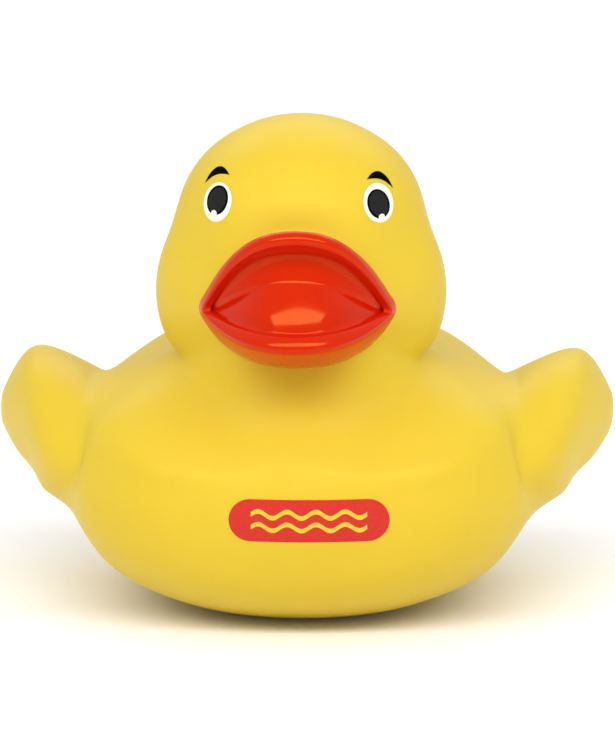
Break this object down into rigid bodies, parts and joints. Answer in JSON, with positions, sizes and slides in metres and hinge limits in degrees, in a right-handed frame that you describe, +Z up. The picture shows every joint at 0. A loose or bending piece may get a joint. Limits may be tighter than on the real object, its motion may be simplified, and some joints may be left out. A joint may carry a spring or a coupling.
{
  "type": "rubber duck",
  "caption": "Hollow vinyl bath duck with spread wings, upturned tail and open-lipped bill, standing on a flat base with a squeaker pressed into it.",
  "frame": {"origin": "middle of the duck's overall width and length, on the surface it stands on", "axes": "+X to the duck's left, wing tip to wing tip; -Y the way the bill points, +Y to the tail; +Z up"},
  "size_m": [0.09, 0.0854, 0.0712],
  "materials": {
    "duck_body": "satin yellow vinyl; the bill is sprayed gloss red",
    "squeaker_cup": "natural white plastic",
    "squeaker_reed_block": "natural white plastic",
    "squeaker_reed": "thin translucent film"
  },
  "bodies": {
    "root": {"duck_body": "duck_body", "squeaker_cup": "squeaker_cup", "squeaker_reed_block": "squeaker_reed_block", "squeaker_reed": "squeaker_reed"}
  },
  "joints": []
}
